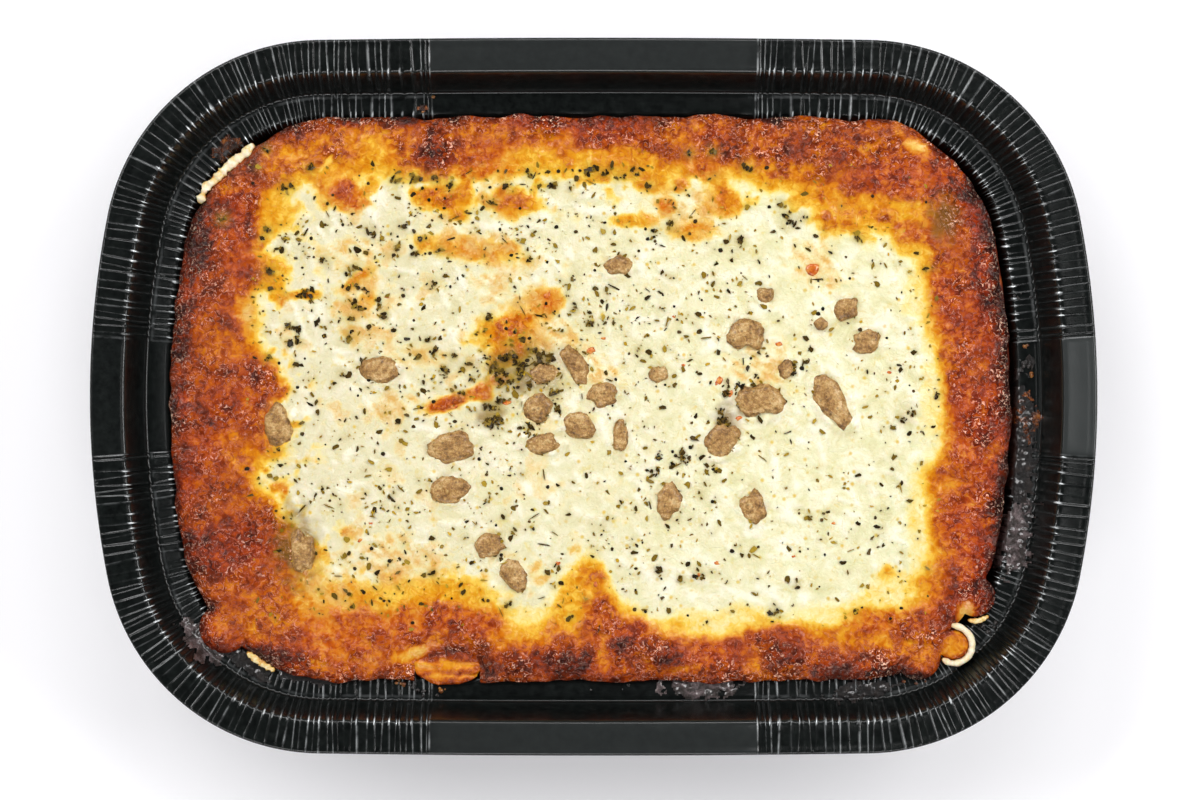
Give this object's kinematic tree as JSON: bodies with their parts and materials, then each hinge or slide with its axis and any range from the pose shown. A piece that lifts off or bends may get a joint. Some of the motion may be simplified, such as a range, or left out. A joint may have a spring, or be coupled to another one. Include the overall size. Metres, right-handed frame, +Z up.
{
  "type": "foil tray lasagne",
  "caption": "Baked lasagne in a rounded black foil tray with a pleated rim: browned cheese crust with sausage pieces and dried herbs, open on top.",
  "frame": {"origin": "on the surface the tray stands on, below the middle of its rim", "axes": "+X along the tray's length, to the right as seen from the front, +Y across it to the back, +Z up, out of the open top"},
  "size_m": [0.3, 0.2138, 0.048],
  "materials": {
    "black_foil": "thin aluminium foil with a semi-gloss black heat-set lacquer, pressed, with sharp pleats that wear to grey",
    "tomato_sauce": "baked tomato sauce and pasta, oily, with browned bubbles",
    "melted_cheese": "melted cheese with an oily gloss, cream in the middle, orange to red-brown towards the edge",
    "cooked_sausage": "crumbled cooked sausage, grainy, slightly oily",
    "boiled_pasta": "boiled pasta sheet, pale and waxy",
    "dried_herbs": "dried herb flakes and ground pepper, dark olive to black, matte",
    "diced_tomato": "bits of cooked tomato, orange-red and wet",
    "burnt_sauce": "sauce burnt onto the foil, sticky, dark brown to black"
  },
  "bodies": {
    "root": {"foil_tray": "black_foil", "pasta_bake": "tomato_sauce", "cheese_crust": "melted_cheese", "sausage_01": "cooked_sausage", "sausage_02": "cooked_sausage", "sausage_03": "cooked_sausage", "sausage_04": "cooked_sausage", "sausage_05": "cooked_sausage", "sausage_06": "cooked_sausage", "sausage_07": "cooked_sausage", "sausage_08": "cooked_sausage", "sausage_09": "cooked_sausage", "sausage_10": "cooked_sausage", "sausage_11": "cooked_sausage", "sausage_12": "cooked_sausage", "sausage_13": "cooked_sausage", "sausage_14": "cooked_sausage", "sausage_15": "cooked_sausage", "sausage_16": "cooked_sausage", "sausage_17": "cooked_sausage", "sausage_18": "cooked_sausage", "sausage_19": "cooked_sausage", "sausage_20": "cooked_sausage", "sausage_21": "cooked_sausage", "sausage_22": "cooked_sausage", "sausage_23": "cooked_sausage", "sausage_24": "cooked_sausage", "sausage_25": "cooked_sausage", "sausage_26": "cooked_sausage", "sausage_27": "cooked_sausage", "pasta_ruffle_front_right": "boiled_pasta", "pasta_crescent_front_right": "boiled_pasta", "pasta_ruffle_back_left": "boiled_pasta", "pasta_corner_front_left": "boiled_pasta", "pasta_sheet_front": "boiled_pasta"}
  },
  "joints": []
}
